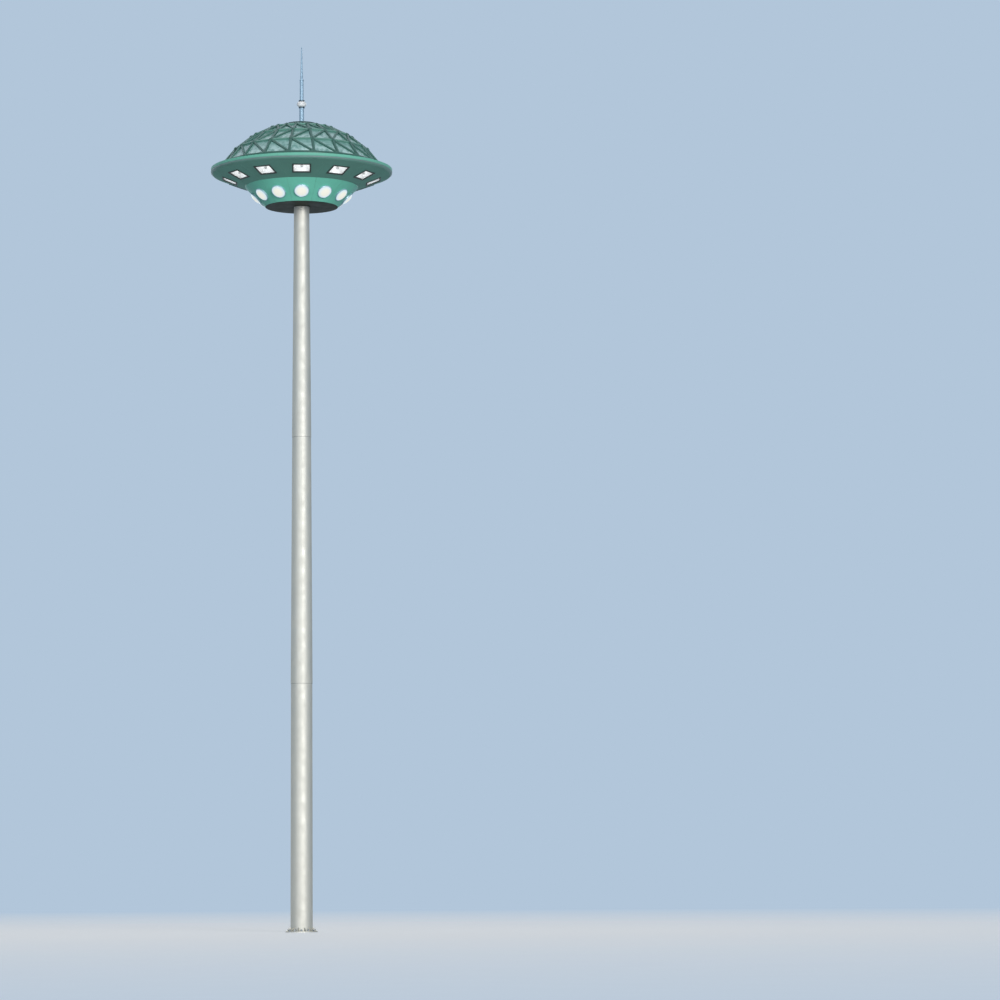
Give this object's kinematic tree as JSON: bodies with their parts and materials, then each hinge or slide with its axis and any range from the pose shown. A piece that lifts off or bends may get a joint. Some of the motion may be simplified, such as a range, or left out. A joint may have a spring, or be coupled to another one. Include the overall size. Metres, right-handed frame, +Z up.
{
  "type": "high mast floodlight tower",
  "caption": "Tall tapered steel mast with a saucer floodlight head under a latticed glazed dome, topped by a spire",
  "frame": {"origin": "centre of the base flange's underside, on the foundation", "axes": "+Z up the mast, -Y the front that the first floodlight of each ring faces, service door on +Y"},
  "size_m": [7.1796, 7.1796, 35.0006],
  "materials": {
    "mast_paint": "satin",
    "head_paint": "satin",
    "soffit_paint": "satin",
    "plate_paint": "satin",
    "lattice_paint": "satin",
    "dome_glass": "clear",
    "frame_steel": "galvanised",
    "window_paint": "satin",
    "window_glass": "clear",
    "reflector_white": "white enamel",
    "lamp_grey": "matte",
    "housing_metal": "satin",
    "lens_glass": "frosted",
    "spire_metal": "satin",
    "ball_paint": "gloss",
    "collar_metal": "dark",
    "lock_metal": "polished"
  },
  "bodies": {
    "root": {"base_flange": "mast_paint", "base_gussets": "mast_paint", "mast_lower_section": "mast_paint", "mast_middle_section": "mast_paint", "mast_upper_section": "mast_paint", "door_frame": "mast_paint", "service_door": "mast_paint", "door_hinges": "mast_paint", "door_lock": "lock_metal", "head_collar": "frame_steel", "head_frame_arms": "frame_steel", "mast_cap": "frame_steel", "centre_post": "frame_steel", "bowl_bottom_plate": "plate_paint", "bowl_panels": "head_paint", "bowl_lamp_housings": "housing_metal", "bowl_lamp_lenses": "lens_glass", "soffit_panels": "soffit_paint", "soffit_window_frames": "window_paint", "soffit_window_glass": "window_glass", "soffit_reflector_trays": "reflector_white", "soffit_lamps": "lamp_grey", "rim_panels": "head_paint", "deck_panels": "head_paint", "dome_curb": "lattice_paint", "dome_lattice": "lattice_paint", "dome_glazing_tier_1": "dome_glass", "dome_glazing_tier_2": "dome_glass", "dome_glazing_tier_3": "dome_glass", "dome_glazing_tier_4": "dome_glass", "dome_cap": "lattice_paint", "spire_stub": "spire_metal", "spire_collars": "collar_metal", "spire_ball": "ball_paint", "spire_rod": "spire_metal", "spire_tip": "spire_metal"}
  },
  "joints": []
}
